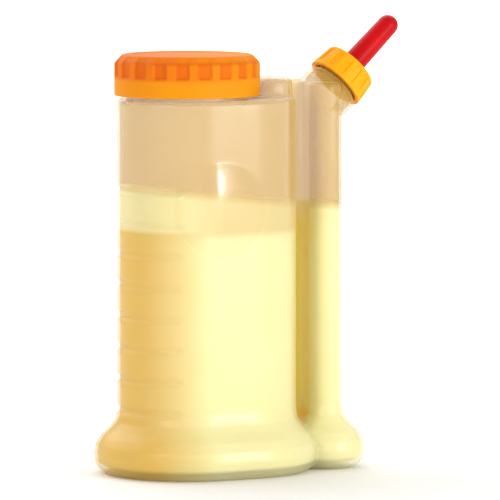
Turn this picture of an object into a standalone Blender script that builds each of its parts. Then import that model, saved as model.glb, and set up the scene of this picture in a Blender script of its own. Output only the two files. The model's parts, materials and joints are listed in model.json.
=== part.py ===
"""Two-chamber squeeze bottle, at rest with every closure on.

A wide reservoir with a screw lid stands beside a narrow standpipe. The two chambers join only in the
foot, and a pinched web holds them together above it. The standpipe ends in a neck slanted outwards,
with a screw collar, a nozzle and a pull-off tip cover. Metres, +Z up, standpipe towards +X, front towards -Y.
"""

import math

import bmesh
import bpy

# Plan of the two chambers
RESERVOIR_X = -0.0326  # lid axis, and centre of the reservoir's outer end
RESERVOIR_LENGTH = 0.0194  # distance between the reservoir's two end centres
RESERVOIR_R = 0.032
STANDPIPE_X = RESERVOIR_X + 0.0654
STANDPIPE_R = 0.0073  # half width along X
STANDPIPE_HALF_DEPTH = 0.018  # along Y
WALL = 0.0014
GAP = 0.0003  # between pieces that rest on each other

# Heights
FLOOR = 0.0035  # inside of the base at its middle
BASE_RECESS = 0.0015
FOOT_TOP = 0.029
SHOULDER_Z = 0.1706
STANDPIPE_TOP = 0.1772
RESERVOIR_FILL_Z = 0.110
STANDPIPE_FILL_Z = 0.1215

# Foot: how far the outline stands out from the wall at each height, from the rounded rim up to the waist
FOOT_FLARE = (
    (0.0000, 0.0040),
    (0.0008, 0.0063),
    (0.0025, 0.0085),
    (0.0050, 0.0100),
    (0.0085, 0.0105),
    (0.0130, 0.0098),
    (0.0170, 0.0074),
    (0.0205, 0.0036),
    (0.0240, 0.0010),
    (FOOT_TOP, 0.0),
)

# Grip grooves round the reservoir's outer end
GROOVE_COUNT = 8
GROOVE_FIRST_Z = 0.0294
GROOVE_PITCH = 0.0143
GROOVE_DEPTH = 0.0008
GROOVE_HALF_WIDTH = 0.0018
GROOVE_HALF_ANGLE = math.radians(63)

# Low round dome raised on the front and on the back
DOME_FROM_AXIS = 0.0020  # from the lid axis towards the standpipe, along the wall
DOME_Z = 0.1217
DOME_R = 0.0215
DOME_HEIGHT = 0.0018
DOME_RINGS = (-0.0215, -0.0165, -0.0115, -0.0064, 0.0029, 0.0064, 0.0113, 0.0165, 0.0215)

# Web and hump between the reservoir and the standpipe
WEB_THICKNESS = 0.0024
WEB_LOW = 0.012
HUMP_X = (RESERVOIR_X + 0.031, RESERVOIR_X + 0.050)
HUMP_HALF_Y = 0.0132
HUMP_TOP = 0.1790
HUMP_SLOPE = 0.06
HUMP_EDGE = 0.0035
HUMP_CORNER = 0.008
HUMP_LOW = 0.150  # where the hump's solid starts, inside the reservoir

# Reservoir neck and lid
NECK_ROOT_R = 0.0294
NECK_BORE_R = 0.0276
NECK_TOP = 0.1868
NECK_LOW = 0.1640  # where the neck's solid starts, inside the shoulder
LID_R = 0.033
LID_INNER_R = 0.0313
LID_Z = 0.1716  # lower rim
LID_HEIGHT = 0.0188
LID_TOP_THICKNESS = 0.002
LID_EDGE_R = 0.0042
LID_RIBS = 20
LID_PANEL_DEPTH = 0.0008
LID_PANEL_Z = 0.0085  # top of the plain skirt, above the lower rim
LID_CLEARANCE_R = 0.0344
LINER_R = 0.0308
LINER_THICKNESS = 0.001
NECK_THREAD_Z = (0.1755, 0.1825)
LID_THREAD_LENGTH = 0.00625
LID_THREAD_PITCH = 0.005
LID_THREAD_R = 0.0013  # radius of the rounded thread ridge

# Slanted neck, in a frame whose +Z runs out along the nozzle from the collar's lower rim
SPOUT_ORIGIN = (RESERVOIR_X + 0.0755, 0.0, 0.1750)
SPOUT_TILT = math.radians(46.5)
SPOUT_BASE_R = 0.0132
SPOUT_TAPER_DEPTH = 0.0075
SPOUT_END_R = 0.0086
SPOUT_DEPTH = 0.0140
SPOUT_ROOT_R = 0.0101
SPOUT_BORE_R = 0.0082
SPOUT_THROAT_R = 0.0114  # inside of the slanted neck below its finish
SPOUT_NECK_TOP = 0.0072
COLLAR_ROOM_R = 0.0165  # the space round the collar that the bottle leaves free
COLLAR_R = 0.01405
COLLAR_TOP_R = 0.0129
COLLAR_INNER_R = 0.0118
COLLAR_SEAT_R = 0.0114  # inside, round the nozzle's flange
COLLAR_SEAT_Z = 0.0084
COLLAR_HEIGHT = 0.0116
COLLAR_TOP_THICKNESS = 0.0013
COLLAR_HOLE_R = 0.0038
COLLAR_RIBS = 14
COLLAR_RIB_DEPTH = 0.0007
SPOUT_THREAD_Z = (0.001, 0.0056)
COLLAR_THREAD_LENGTH = 0.0036
SPOUT_THREAD_PITCH = 0.004
SPOUT_THREAD_R = 0.001
GASKET_THICKNESS = 0.0009
FLANGE_R = 0.0111
FLANGE_THICKNESS = 0.0012
STEM_R = 0.0034
STEM_TIP_R = 0.0024
STEM_BORE_R = 0.0026
STEM_TIP_BORE_R = 0.0011
STEM_TOP = 0.0384
COVER_R = 0.0053
COVER_TIP_R = 0.0048
COVER_TOP = 0.0427

THREAD_START = 0.31  # angle at which every thread starts, in radians
OUTLINE_POINTS = 64
CAVITY_POINTS = 40
PIPE_POINTS = 24
RIB_STEPS = 4
TURNED_STEPS = 48
SMALL_STEPS = 40


def clear_scene():
    for obj in list(bpy.data.objects):
        bpy.data.objects.remove(obj, do_unlink=True)


def add_collection(name):
    collection = bpy.data.collections.new(name)
    bpy.context.scene.collection.children.link(collection)
    return collection


def add_object(name, data, collection, location=(0, 0, 0), parent=None):
    obj = bpy.data.objects.new(name, data)
    obj.location = location
    obj.parent = parent
    collection.objects.link(obj)
    if collection is CUTTERS:
        obj.hide_render = True
        obj.display_type = "WIRE"
    return obj


def paint(obj, colour, roughness, alpha=1.0):
    """Gives the piece its own plastic material."""
    plastic = bpy.data.materials.new(obj.name)
    plastic.use_nodes = True
    shader = plastic.node_tree.nodes["Principled BSDF"]
    shader.inputs["Base Color"].default_value = (*colour, 1)
    shader.inputs["Roughness"].default_value = roughness
    shader.inputs["Alpha"].default_value = alpha
    obj.data.materials.clear()
    obj.data.materials.append(plastic)


def settled_mesh(obj):
    """The object's mesh with its modifiers carried out."""
    graph = bpy.context.evaluated_depsgraph_get()
    mesh = bpy.data.meshes.new_from_object(obj.evaluated_get(graph))
    work = bmesh.new()
    work.from_mesh(mesh)
    bmesh.ops.remove_doubles(work, verts=work.verts, dist=1e-6)
    work.to_mesh(mesh)
    work.free()
    return mesh


def settle(obj):
    mesh = settled_mesh(obj)
    obj.modifiers.clear()
    obj.data = mesh


def combine(obj, operation, *others):
    for other in others:
        boolean = obj.modifiers.new(f"{operation.lower()}_{other.name}", "BOOLEAN")
        boolean.operation = operation
        boolean.solver = "EXACT"
        boolean.object = other


def loft(name, rings, collection, location=(0, 0, 0)):
    """A closed solid through rings of as many points each, counter-clockwise from above, bottom first."""
    count = len(rings[0])
    last = count * (len(rings) - 1)
    faces = [tuple(reversed(range(count))), tuple(range(last, last + count))]
    for start in range(0, last, count):
        for i in range(count):
            j = (i + 1) % count
            faces.append((start + i, start + j, start + count + j, start + count + i))
    mesh = bpy.data.meshes.new(name)
    mesh.from_pydata([point for ring in rings for point in ring], [], faces)
    return add_object(name, mesh, collection, location)


def turned(name, profile, collection, steps=TURNED_STEPS, location=(0, 0, 0), parent=None):
    """Turns a profile of (radius, z) points, which runs down the outer side and back up the inner one."""
    mesh = bpy.data.meshes.new(name)
    closed = profile[0][0] > 0
    edges = [(i, i + 1) for i in range(len(profile) - 1)]
    if closed:
        edges.append((len(profile) - 1, 0))
    mesh.from_pydata([(radius, 0, z) for radius, z in profile], edges, [])
    obj = add_object(name, mesh, collection, location, parent)
    screw = obj.modifiers.new("turn", "SCREW")
    screw.steps = steps
    screw.render_steps = steps
    screw.use_merge_vertices = True
    screw.merge_threshold = 1e-6
    settle(obj)
    return obj


def arc(centre, radius, start, end, count):
    """Points on an arc from start to end, in degrees from the radius direction."""
    angles = [math.radians(start + (end - start) * i / (count - 1)) for i in range(count)]
    return [(centre[0] + radius * math.cos(a), centre[1] + radius * math.sin(a)) for a in angles]


def thread(name, radius, wire, pitch, z_range, location=(0, 0, 0), parent=None):
    """A rounded helical ridge. Every thread starts at the same angle, so that mates interleave."""
    turns = (z_range[1] - z_range[0]) / pitch
    count = round(turns * 36) + 1
    curve = bpy.data.curves.new(name, "CURVE")
    curve.dimensions = "3D"
    curve.bevel_depth = wire
    curve.bevel_resolution = 1
    curve.use_fill_caps = True
    spline = curve.splines.new("POLY")
    spline.points.add(count - 1)
    for i, point in enumerate(spline.points):
        angle = THREAD_START + math.tau * turns * i / (count - 1)
        z = z_range[0] + (z_range[1] - z_range[0]) * i / (count - 1)
        point.co = (radius * math.cos(angle), radius * math.sin(angle), z, 1)
    wire_object = add_object(name + "_wire", curve, CUTTERS, location, parent)
    mesh = settled_mesh(wire_object)
    bpy.data.objects.remove(wire_object)
    return add_object(name, mesh, CUTTERS, location, parent)


def reservoir_ring(z, stand_out=0.0, count=CAVITY_POINTS):
    """The reservoir's outline at z: two half circles joined by straight sides."""
    radius = RESERVOIR_R + stand_out
    ring = []
    for i in range(count):
        angle = math.tau * (i + 0.5) / count
        centre = RESERVOIR_LENGTH if math.cos(angle) > 0 else 0.0
        ring.append((RESERVOIR_X + centre + radius * math.cos(angle), radius * math.sin(angle), z))
    return ring


def wall_ring(z, stand_out=0.0, groove=0.0):
    """The same outline with evenly spaced points, which the wall's relief moves in or out."""
    half_arc = math.pi * RESERVOIR_R / 2
    half_way = 2 * half_arc + RESERVOIR_LENGTH
    ring = []
    for i in range(OUTLINE_POINTS):
        along = 2 * half_way * ((i + 0.5) / OUTLINE_POINTS - 0.5)  # 0 at the inner end, front negative
        from_end = half_way - abs(along)  # 0 at the outer end
        flat = min(max(from_end - half_arc, 0.0), RESERVOIR_LENGTH)
        angle = math.copysign(math.pi - (from_end - flat) / RESERVOIR_R, along)
        reach = RESERVOIR_R + stand_out + dome(from_end - half_arc, z)
        if from_end < RESERVOIR_R * GROOVE_HALF_ANGLE:
            reach -= groove
        ring.append((RESERVOIR_X + flat + reach * math.cos(angle), reach * math.sin(angle), z))
    return ring


def dome(from_axis, z):
    """How far the domes raise the wall, at a distance along it from the lid axis and a height."""
    away = math.hypot(from_axis - DOME_FROM_AXIS, z - DOME_Z) / DOME_R
    return DOME_HEIGHT * max(1 - away**2, 0.0)


def standpipe_ring(z, stand_out=0.0, count=PIPE_POINTS):
    """The standpipe's outline at z: narrow along X, deep along Y, with round front and back."""
    radius = STANDPIPE_R + stand_out
    ring = []
    for i in range(count):
        angle = math.tau * (i + 0.5) / count
        centre = math.copysign(STANDPIPE_HALF_DEPTH - STANDPIPE_R, math.sin(angle))
        ring.append((STANDPIPE_X + radius * math.cos(angle), centre + radius * math.sin(angle), z))
    return ring


def relief_rings():
    """Three outlines for each grip groove, its two lips and its floor, and more to shape the domes."""
    rings = []
    for k in range(GROOVE_COUNT):
        z = GROOVE_FIRST_Z + k * GROOVE_PITCH
        rings.append(wall_ring(z - GROOVE_HALF_WIDTH, foot_flare(z - GROOVE_HALF_WIDTH)))
        rings.append(wall_ring(z, groove=GROOVE_DEPTH))
        rings.append(wall_ring(z + GROOVE_HALF_WIDTH))
    rings += [wall_ring(DOME_Z + up) for up in DOME_RINGS]
    return sorted(rings, key=lambda ring: ring[0][2])


def foot_flare(z):
    """How far the foot stands out from the wall at z."""
    for (low_z, low), (high_z, high) in zip(FOOT_FLARE, FOOT_FLARE[1:]):
        if z <= high_z:
            return low + (high - low) * (z - low_z) / (high_z - low_z)
    return 0.0


def reservoir_outer():
    recess = [wall_ring(BASE_RECESS, -0.004), wall_ring(0.0, 0.001)]
    foot = [wall_ring(z, flare) for z, flare in FOOT_FLARE[:-1]]
    shoulder = [
        wall_ring(SHOULDER_Z - 0.0024),
        wall_ring(SHOULDER_Z - 0.0009, -0.0007),
        wall_ring(SHOULDER_Z, -0.0024),
    ]
    return loft("bottle_body", recess + foot + relief_rings() + shoulder, PARTS)


def standpipe_outer(spout):
    foot = [standpipe_ring(z + 0.0004, flare) for z, flare in FOOT_FLARE]
    top = [
        standpipe_ring(STANDPIPE_TOP - 0.0028),
        standpipe_ring(STANDPIPE_TOP - 0.0010, -0.0006),
        standpipe_ring(STANDPIPE_TOP - 0.0002, -0.0016),
        standpipe_ring(STANDPIPE_TOP, -0.0030),
    ]
    pipe = loft("standpipe_outer", foot + top, CUTTERS)
    combine(pipe, "DIFFERENCE", collar_room("collar_room", spout, 0.0))
    return pipe


def collar_room(name, spout, inset):
    """The space that the collar needs beside the slanted neck."""
    return cylinder(name, COLLAR_ROOM_R + inset, -0.0008 - inset, 0.020, parent=spout)


def chamber(name, outline, inset, top, points):
    """A solid that fills one chamber: the outline drawn in by inset, from the floor up to top."""
    base = FLOOR + inset - WALL
    rings = [outline(base, foot_flare(base) - 0.002 - inset, points)]
    rings += [outline(z, flare - inset, points) for z, flare in FOOT_FLARE if z > base + 0.001]
    rings.append(outline(top, -inset, points))
    return loft(name, rings, CUTTERS)


def web_outer():
    """The pinched web that joins the two chambers, sunk a little into each."""
    low, high = WEB_LOW, HUMP_TOP - 0.0012
    left = HUMP_X[1] - 0.001
    right = STANDPIPE_X - STANDPIPE_R + 0.001
    mesh = bpy.data.meshes.new("web_outer")
    work = bmesh.new()
    bmesh.ops.create_cube(work, size=1)
    bmesh.ops.scale(work, vec=(right - left, WEB_THICKNESS, high - low), verts=work.verts)
    work.to_mesh(mesh)
    work.free()
    return add_object("web_outer", mesh, CUTTERS, ((left + right) / 2, 0, (low + high) / 2))


def hump(name, inset, low):
    """The raised block beside the lid: a box with rounded corners whose top slopes up towards the spout."""
    left, right = HUMP_X[0] + inset * 3, HUMP_X[1] - inset
    half_y = HUMP_HALF_Y - inset
    corner = HUMP_CORNER - inset

    def ring(z, edge, slope):
        points = []
        for i in range(24):
            angle = math.tau * (i + 0.5) / 24
            side_x = right - corner if math.cos(angle) > 0 else left + corner
            side_y = math.copysign(half_y - corner, math.sin(angle))
            x = side_x + (corner - edge) * math.cos(angle)
            y = side_y + (corner - edge) * math.sin(angle)
            points.append((x, y, z + slope * (x - sum(HUMP_X) / 2)))
        return points

    rings = [ring(low, 0.0, 0.0)]
    for step in range(5):
        angle = math.radians(90 * step / 4)
        edge = HUMP_EDGE * (1 - math.cos(angle))
        rings.append(ring(HUMP_TOP - inset - HUMP_EDGE * (1 - math.sin(angle)), edge, HUMP_SLOPE))
    return loft(name, rings, CUTTERS)


def cylinder(name, radius, low, high, location=(0, 0, 0), parent=None):
    """A helper cylinder between two heights."""
    profile = [(0, high), (radius, high), (radius, low), (0, low)]
    return turned(name, profile, CUTTERS, TURNED_STEPS, location, parent)


def bottle_body(spout):
    axis = (RESERVOIR_X, 0, 0)
    body = reservoir_outer()
    lid_room = cylinder("lid_room", LID_CLEARANCE_R, SHOULDER_Z + 0.0004, 0.2, axis)
    block = hump("hump_outer", 0.0, HUMP_LOW)
    combine(block, "DIFFERENCE", lid_room)
    neck_profile = [
        (0, NECK_TOP),
        (NECK_ROOT_R - 0.0005, NECK_TOP),
        (NECK_ROOT_R, NECK_TOP - 0.0005),
        (NECK_ROOT_R, NECK_LOW),
        (0, NECK_LOW),
    ]
    neck = turned("neck_outer", neck_profile, CUTTERS, TURNED_STEPS, axis)
    spout_profile = [
        (0, SPOUT_NECK_TOP),
        (SPOUT_ROOT_R - 0.0004, SPOUT_NECK_TOP),
        (SPOUT_ROOT_R, SPOUT_NECK_TOP - 0.0004),
        (SPOUT_ROOT_R, -0.0008),
        (SPOUT_BASE_R - 0.0006, -0.0010),
        (SPOUT_BASE_R, -0.0016),
        (SPOUT_BASE_R, -SPOUT_TAPER_DEPTH),
        (SPOUT_END_R, -SPOUT_DEPTH),
        (0, -SPOUT_DEPTH),
    ]
    spout_neck = turned("spout_neck_outer", spout_profile, CUTTERS, SMALL_STEPS, parent=spout)
    lid_thread = thread("neck_thread", NECK_ROOT_R, LID_THREAD_R, LID_THREAD_PITCH, NECK_THREAD_Z, axis)
    spout_thread = thread(
        "spout_thread", SPOUT_ROOT_R, SPOUT_THREAD_R, SPOUT_THREAD_PITCH, SPOUT_THREAD_Z, parent=spout
    )
    outer = (standpipe_outer(spout), web_outer(), block, neck, spout_neck, lid_thread, spout_thread)
    combine(body, "UNION", *outer)

    cavity = chamber("reservoir_cavity", reservoir_ring, WALL, SHOULDER_Z - 0.0022, CAVITY_POINTS)
    pipe_cavity = chamber("standpipe_cavity", standpipe_ring, WALL, STANDPIPE_TOP - 0.002, PIPE_POINTS)
    combine(pipe_cavity, "DIFFERENCE", collar_room("collar_room_wall", spout, WALL))
    hump_cavity = hump("hump_cavity", WALL, HUMP_LOW + 0.005)
    bore = cylinder("neck_bore", NECK_BORE_R, NECK_LOW - 0.002, 0.2, axis)
    spout_bore_profile = [
        (0, 0.012),
        (SPOUT_BORE_R, 0.012),
        (SPOUT_BORE_R, 0.0),
        (SPOUT_THROAT_R, -0.0035),
        (SPOUT_THROAT_R, -0.0070),
        (0.0060, -0.0115),
        (0, -0.0115),
    ]
    spout_bore = turned("spout_bore", spout_bore_profile, CUTTERS, SMALL_STEPS, parent=spout)
    # Half a facet round, so that no corner of a bore lies on an edge of the neck that it cuts.
    bore.rotation_euler.z = math.pi / TURNED_STEPS
    spout_bore.rotation_euler.z = math.pi / SMALL_STEPS
    combine(body, "DIFFERENCE", cavity, pipe_cavity, hump_cavity, bore, spout_bore)
    paint(body, (0.87, 0.76, 0.58), 0.35, 0.45)


def fill():
    """What the bottle holds: a body with its own level in each chamber, joined in the foot."""
    inset = WALL + GAP
    main = chamber("fill", reservoir_ring, inset, RESERVOIR_FILL_Z, CAVITY_POINTS)
    CUTTERS.objects.unlink(main)
    PARTS.objects.link(main)
    main.hide_render = False
    main.display_type = "TEXTURED"
    column = chamber("standpipe_fill", standpipe_ring, inset, STANDPIPE_FILL_Z, PIPE_POINTS)
    combine(main, "UNION", column)
    paint(main, (0.97, 0.92, 0.62), 0.5)


def press_panels(obj, ribs, least_radius, z_range, depth):
    """Sinks a turned wall between its ribs and two heights. Each rib has RIB_STEPS facets of the wall."""
    for vertex in obj.data.vertices:
        x, y, z = vertex.co
        radius = math.hypot(x, y)
        if radius < least_radius or not z_range[0] < z < z_range[1]:
            continue
        column = round(math.atan2(y, x) / math.tau * ribs * RIB_STEPS) % RIB_STEPS
        if column in (1, 2):
            vertex.co.x *= (radius - depth) / radius
            vertex.co.y *= (radius - depth) / radius


def reservoir_lid():
    edge = arc((LID_R - LID_EDGE_R, LID_HEIGHT - LID_EDGE_R), LID_EDGE_R, 90, 0, 4)
    profile = [(0, LID_HEIGHT - 0.0005), (0.0240, LID_HEIGHT - 0.0005), (0.0255, LID_HEIGHT)]
    profile += edge
    profile += [
        (LID_R, LID_PANEL_Z + 0.0008),
        (LID_R, LID_PANEL_Z),
        (LID_R, 0.0005),
        (LID_R - 0.0005, 0.0),
        (LID_INNER_R, 0.0),
        (LID_INNER_R, LID_HEIGHT - LID_TOP_THICKNESS),
        (0, LID_HEIGHT - LID_TOP_THICKNESS),
    ]
    place = (RESERVOIR_X, 0, LID_Z)
    lid = turned("reservoir_lid", profile, PARTS, LID_RIBS * RIB_STEPS, place)
    panels = (LID_PANEL_Z + 0.0004, LID_HEIGHT - 0.001)
    press_panels(lid, LID_RIBS, LID_INNER_R + 0.0008, panels, LID_PANEL_DEPTH)
    low = NECK_THREAD_Z[0] - LID_THREAD_PITCH / 2 - LID_Z
    span = (low, low + LID_THREAD_LENGTH)
    ridge = thread("lid_thread", LID_INNER_R, LID_THREAD_R, LID_THREAD_PITCH, span, place)
    combine(lid, "UNION", ridge)
    paint(lid, (0.95, 0.50, 0.05), 0.35)


def lid_liner():
    top = LID_HEIGHT - LID_TOP_THICKNESS - GAP
    profile = [(0, top), (LINER_R, top), (LINER_R, top - LINER_THICKNESS), (0, top - LINER_THICKNESS)]
    liner = turned("lid_liner", profile, PARTS, 48, (RESERVOIR_X, 0, LID_Z))
    paint(liner, (0.92, 0.91, 0.87), 0.6)


def spout_collar(spout):
    profile = [
        (COLLAR_HOLE_R, COLLAR_HEIGHT),
        (COLLAR_TOP_R - 0.0012, COLLAR_HEIGHT),
        (COLLAR_TOP_R - 0.0003, COLLAR_HEIGHT - 0.0003),
        (COLLAR_TOP_R, COLLAR_HEIGHT - 0.0012),
        (COLLAR_TOP_R + 0.0005, COLLAR_HEIGHT - 0.0046),
        (COLLAR_R - 0.0003, 0.0032),
        (COLLAR_R, 0.0004),
        (COLLAR_R - 0.0004, 0.0),
        (COLLAR_INNER_R, 0.0),
        (COLLAR_INNER_R, COLLAR_SEAT_Z - 0.0004),
        (COLLAR_SEAT_R, COLLAR_SEAT_Z),
        (COLLAR_SEAT_R, COLLAR_HEIGHT - COLLAR_TOP_THICKNESS),
        (COLLAR_HOLE_R, COLLAR_HEIGHT - COLLAR_TOP_THICKNESS),
    ]
    collar = turned("spout_collar", profile, PARTS, COLLAR_RIBS * RIB_STEPS, parent=spout)
    panels = (0.001, COLLAR_HEIGHT - 0.001)
    press_panels(collar, COLLAR_RIBS, COLLAR_TOP_R - 0.0001, panels, COLLAR_RIB_DEPTH)
    low = SPOUT_THREAD_Z[0] + SPOUT_THREAD_PITCH / 2
    span = (low, low + COLLAR_THREAD_LENGTH)
    radius = COLLAR_INNER_R - 0.0001
    ridge = thread("collar_thread", radius, SPOUT_THREAD_R, SPOUT_THREAD_PITCH, span, parent=spout)
    combine(collar, "UNION", ridge)
    paint(collar, (0.93, 0.52, 0.07), 0.35)


def spout_gasket(spout):
    low = SPOUT_NECK_TOP + GAP
    high = low + GASKET_THICKNESS
    outer, inner = SPOUT_ROOT_R, SPOUT_BORE_R
    profile = [(inner, high), (outer, high), (outer, low), (inner, low)]
    gasket = turned("spout_gasket", profile, PARTS, SMALL_STEPS, parent=spout)
    paint(gasket, (0.90, 0.89, 0.85), 0.6)


def spout_nozzle(spout):
    low = SPOUT_NECK_TOP + 2 * GAP + GASKET_THICKNESS
    profile = [
        (STEM_TIP_BORE_R, STEM_TOP),
        (STEM_TIP_R - 0.0006, STEM_TOP),
        (STEM_TIP_R, STEM_TOP - 0.0008),
        (STEM_R - 0.0002, 0.0180),
        (STEM_R, 0.0150),
        (STEM_R, low + FLANGE_THICKNESS),
        (FLANGE_R, low + FLANGE_THICKNESS),
        (FLANGE_R, low),
        (STEM_BORE_R, low),
        (STEM_BORE_R - 0.0004, 0.0180),
        (STEM_TIP_BORE_R, STEM_TOP - 0.003),
    ]
    nozzle = turned("spout_nozzle", profile, PARTS, 32, parent=spout)
    paint(nozzle, (0.93, 0.90, 0.82), 0.4)


def tip_cover(spout):
    low = COLLAR_HEIGHT + GAP
    end = (0, COVER_TOP - COVER_TIP_R)
    profile = [(0, COVER_TOP)] + arc(end, COVER_TIP_R, 75, 0, 5)
    profile += [
        (COVER_R, low + 0.0015),
        (COVER_R, low + 0.0003),
        (COVER_R - 0.0003, low),
        (STEM_R + 0.0003, low),
        (STEM_R + 0.0001, 0.0180),
        (STEM_TIP_R + 0.0004, STEM_TOP - 0.0006),
        (STEM_TIP_R - 0.0002, STEM_TOP + 0.0006),
        (0, STEM_TOP + 0.0006),
    ]
    cover = turned("tip_cover", profile, PARTS, 32, parent=spout)
    paint(cover, (0.85, 0.05, 0.04), 0.4)


def main():
    spout = bpy.data.objects.new("spout_axis", None)
    spout.location = SPOUT_ORIGIN
    spout.rotation_euler = (0, SPOUT_TILT, 0)
    PARTS.objects.link(spout)
    bpy.context.view_layer.update()
    bottle_body(spout)
    fill()
    reservoir_lid()
    lid_liner()
    spout_collar(spout)
    spout_gasket(spout)
    spout_nozzle(spout)
    tip_cover(spout)


clear_scene()
PARTS = add_collection("two_chamber_squeeze_bottle")
CUTTERS = add_collection("cutters")
CUTTERS.hide_render = True
main()
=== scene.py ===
"""Looks of a two-chamber squeeze bottle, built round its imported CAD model.

Every visible piece but the wet films is a fine mesh that stands for one CAD node: the blow-moulded
bottle, what it holds, the ribbed lid and collar with their threads, the liner, the gasket, the nozzle
and the tip cover. Metres, +Z up, the standpipe towards +X and the front towards -Y, as in the CAD model.
"""

import json
import math

import bmesh
import bpy
import numpy as np
from mathutils import Matrix, Vector


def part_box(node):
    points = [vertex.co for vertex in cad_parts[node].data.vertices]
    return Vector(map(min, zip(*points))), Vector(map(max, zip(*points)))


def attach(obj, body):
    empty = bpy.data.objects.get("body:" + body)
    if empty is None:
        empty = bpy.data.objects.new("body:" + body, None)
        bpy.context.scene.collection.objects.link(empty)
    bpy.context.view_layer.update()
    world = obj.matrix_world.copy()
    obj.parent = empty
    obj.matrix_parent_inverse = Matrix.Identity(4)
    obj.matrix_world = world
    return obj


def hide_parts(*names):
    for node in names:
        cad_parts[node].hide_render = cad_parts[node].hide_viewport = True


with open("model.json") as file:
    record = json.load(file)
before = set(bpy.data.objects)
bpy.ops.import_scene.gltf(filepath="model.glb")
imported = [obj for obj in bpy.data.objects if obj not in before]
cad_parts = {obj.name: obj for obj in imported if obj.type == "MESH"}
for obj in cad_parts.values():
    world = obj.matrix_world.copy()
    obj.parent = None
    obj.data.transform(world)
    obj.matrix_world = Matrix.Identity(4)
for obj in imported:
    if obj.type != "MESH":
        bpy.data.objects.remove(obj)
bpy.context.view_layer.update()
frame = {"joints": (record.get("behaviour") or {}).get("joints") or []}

# Frame: the lid's axis and the spout's axis, which everything else is placed from
LID_LOW, LID_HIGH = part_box("reservoir_lid")
LID_R = (LID_HIGH.y - LID_LOW.y) / 2
LID_X = (LID_LOW.x + LID_HIGH.x) / 2
LID_HEIGHT = LID_HIGH.z - LID_LOW.z
JOINTS = {joint["name"]: joint for joint in frame["joints"]}
SPOUT_POINT = Vector(JOINTS["collar_turn"]["pos_m"])
SPOUT_AXIS = Vector(JOINTS["collar_turn"]["axis"]).normalized()

# Chambers
RESERVOIR_LENGTH = 0.0194  # of its straight sides, from the lid's axis towards the standpipe
RESERVOIR_R = 0.032
STANDPIPE_X = LID_X + 0.0654
STANDPIPE_R = 0.0073
STANDPIPE_HALF_DEPTH = 0.018
WALL = 0.0014
SHOULDER_Z = 0.1706
STANDPIPE_TOP = 0.1772
FLOOR_Z = 0.0035
FOOT_FLARE = (  # heights, and how far the foot stands out there
    (0.0000, 0.0040),
    (0.0008, 0.0063),
    (0.0025, 0.0085),
    (0.0050, 0.0100),
    (0.0085, 0.01044),
    (0.0130, 0.0098),
    (0.0170, 0.0074),
    (0.0205, 0.0036),
    (0.0240, 0.0010),
    (0.0290, 0.0),
)
FOOT_ROUND_TOP = 0.030
SHOULDER_EDGE = 0.0024  # radius of the reservoir's upper edge
PIPE_EDGE = 0.0028  # and of the standpipe's
HUMP_SLOPE = 0.06
WEB_HALF = 0.0013
WEB_TOP = 0.1778
SLOT_X = LID_X + RESERVOIR_LENGTH + RESERVOIR_R + 0.0037  # middle of the slot between the chambers
LID_ROOM_R = 0.0344  # room that the lid needs beside the hump
COLLAR_ROOM_R = 0.0165
COLLAR_ROOM_LOW = -0.0007  # along the spout
COLLAR_ROOM_HIGH = 0.020
CLEAR_Z = 0.2  # above the reservoir's neck

# Points round each outline and each turned shape. The bores' counts differ from their necks', so that
# no facets coincide.
OUTLINE_POINTS = 320
PIPE_POINTS = 96
CAVITY_POINTS = 180
PIPE_CAVITY_POINTS = 64
LIQUID_POINTS = 200
NECK_STEPS = 144
NECK_BORE_STEPS = 133
SPOUT_STEPS = 96
THROAT_STEPS = 83
SLIM_STEPS = 72
THREAD_STEPS = 72
THREAD_SIDES = 12

# Making of the skin
VOXEL = 0.00102
MELT_STEPS = 5  # smoothing passes, which round the corners as blow moulding does
TRUE_LOW_Z = 0.0010  # the skin is trued up above this height
RESERVOIR_NEAR = (0.0009, 0.0005)  # and where it is this close to the wall, with a fade
PIPE_NEAR = (0.0006, 0.0003)
PIECE_SHARP = 38  # degrees above which an edge stays sharp
FILM_SHARP = 60

# Relief of the reservoir's wall
GROOVES = 8
GROOVE_FIRST_Z = 0.0294
GROOVE_PITCH = 0.0143
GROOVE_DEPTH = 0.0014
GROOVE_HALF_WIDTH = 0.0028
GROOVE_HALF_LENGTH = 0.0352
GROOVE_FADE = 0.005
DOME_S = 0.002  # along the front from the lid's axis
DOME_Z = 0.1217
DOME_R = 0.0215
DOME_HEIGHT = 0.0018

# Lengths along the reservoir's outline
HALF_ROUND = math.pi * RESERVOIR_R
BACK_END = 2 * RESERVOIR_LENGTH + HALF_ROUND  # where the back's straight side ends
OUTLINE = BACK_END + HALF_ROUND
OUTER_END = OUTLINE - HALF_ROUND / 2

# What the bottle holds: its levels, and the wet films on the reservoir's inner wall
RESERVOIR_FILL_Z = 0.110
STANDPIPE_FILL_Z = 0.1215
FILL_INSET = WALL + 0.0003
FILM_GAP = 0.00003
FILM_EDGE_Z = 0.1238  # upper edge of the wet films at x = 0
FILM_FALL = 0.108  # and its fall towards the standpipe
FILM_STEP = 0.0010
FILM_ROWS = 25
THIN_FILM = 0.00018
THICK_FILM = 0.00040
THICK_HALF_LENGTH = 0.0420  # of the thick film, to each side of the outer end

# Necks and closures
NECK_R = 0.0294
NECK_BORE_R = 0.0276
NECK_TOP = 0.1868
NECK_LOW = 0.1640
NECK_THREAD_Z = (0.1755, 0.1825)
LID_PITCH = 0.005
LID_INNER_R = 0.0313
SPOUT_BASE_R = 0.0132
SPOUT_ROOT_R = 0.0101
SPOUT_BORE_R = 0.0082
SPOUT_THROAT_R = 0.0114
SPOUT_TOP = 0.0072
SPOUT_THREAD_Z = (0.001, 0.0056)
SPOUT_PITCH = 0.004
COLLAR_HEIGHT = 0.0116
COLLAR_INNER_R = 0.0118
THREAD_START = 0.31
LID_RIBS = 20
COLLAR_RIBS = 14
RIB_STEPS = 18  # points of the wall for each rib

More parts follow.
